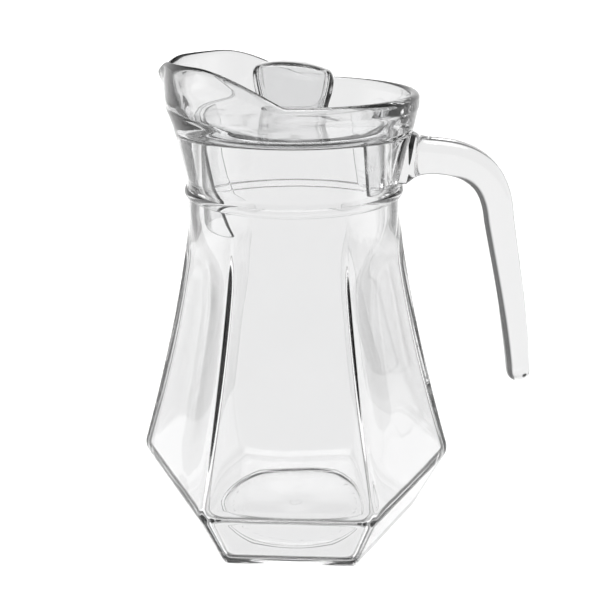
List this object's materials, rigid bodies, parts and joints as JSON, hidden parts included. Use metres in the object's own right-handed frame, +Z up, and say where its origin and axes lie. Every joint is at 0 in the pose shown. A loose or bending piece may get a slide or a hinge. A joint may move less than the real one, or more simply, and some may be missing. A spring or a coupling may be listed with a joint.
{
  "type": "water jug",
  "caption": "Clear glass water jug: round flared neck, ring bead and soft hexagonal belly, short pouring lip, open-ended side handle, and a lift-out clear plastic lid with a hollow grip.",
  "frame": {"origin": "on the neck's axis, in the plane that the jug stands on", "axes": "+Z up along the neck's axis, +X towards the handle, -X towards the pouring lip"},
  "size_m": [0.1877, 0.1316, 0.2231],
  "materials": {
    "glass": "clear fire-polished soda-lime glass",
    "lid_plastic": "clear moulded plastic, slightly grey",
    "lid_seal": "soft clear plastic"
  },
  "bodies": {
    "jug": {"jug_body": "glass", "handle": "glass"},
    "lid_seat": {"lid_seal": "lid_seal"},
    "lid": {"lid_plate": "lid_plastic", "lid_grip": "lid_plastic"}
  },
  "joints": [
    {"name": "lid_lift", "type": "slide", "parent": "jug", "child": "lid_seat", "axis": [0, 0, 1], "range_m": [0, 0.075]},
    {"name": "lid_turn", "type": "hinge", "parent": "lid_seat", "child": "lid", "pos_m": [0, 0, 0.1947], "axis": [0, 0, 1], "continuous": true}
  ]
}
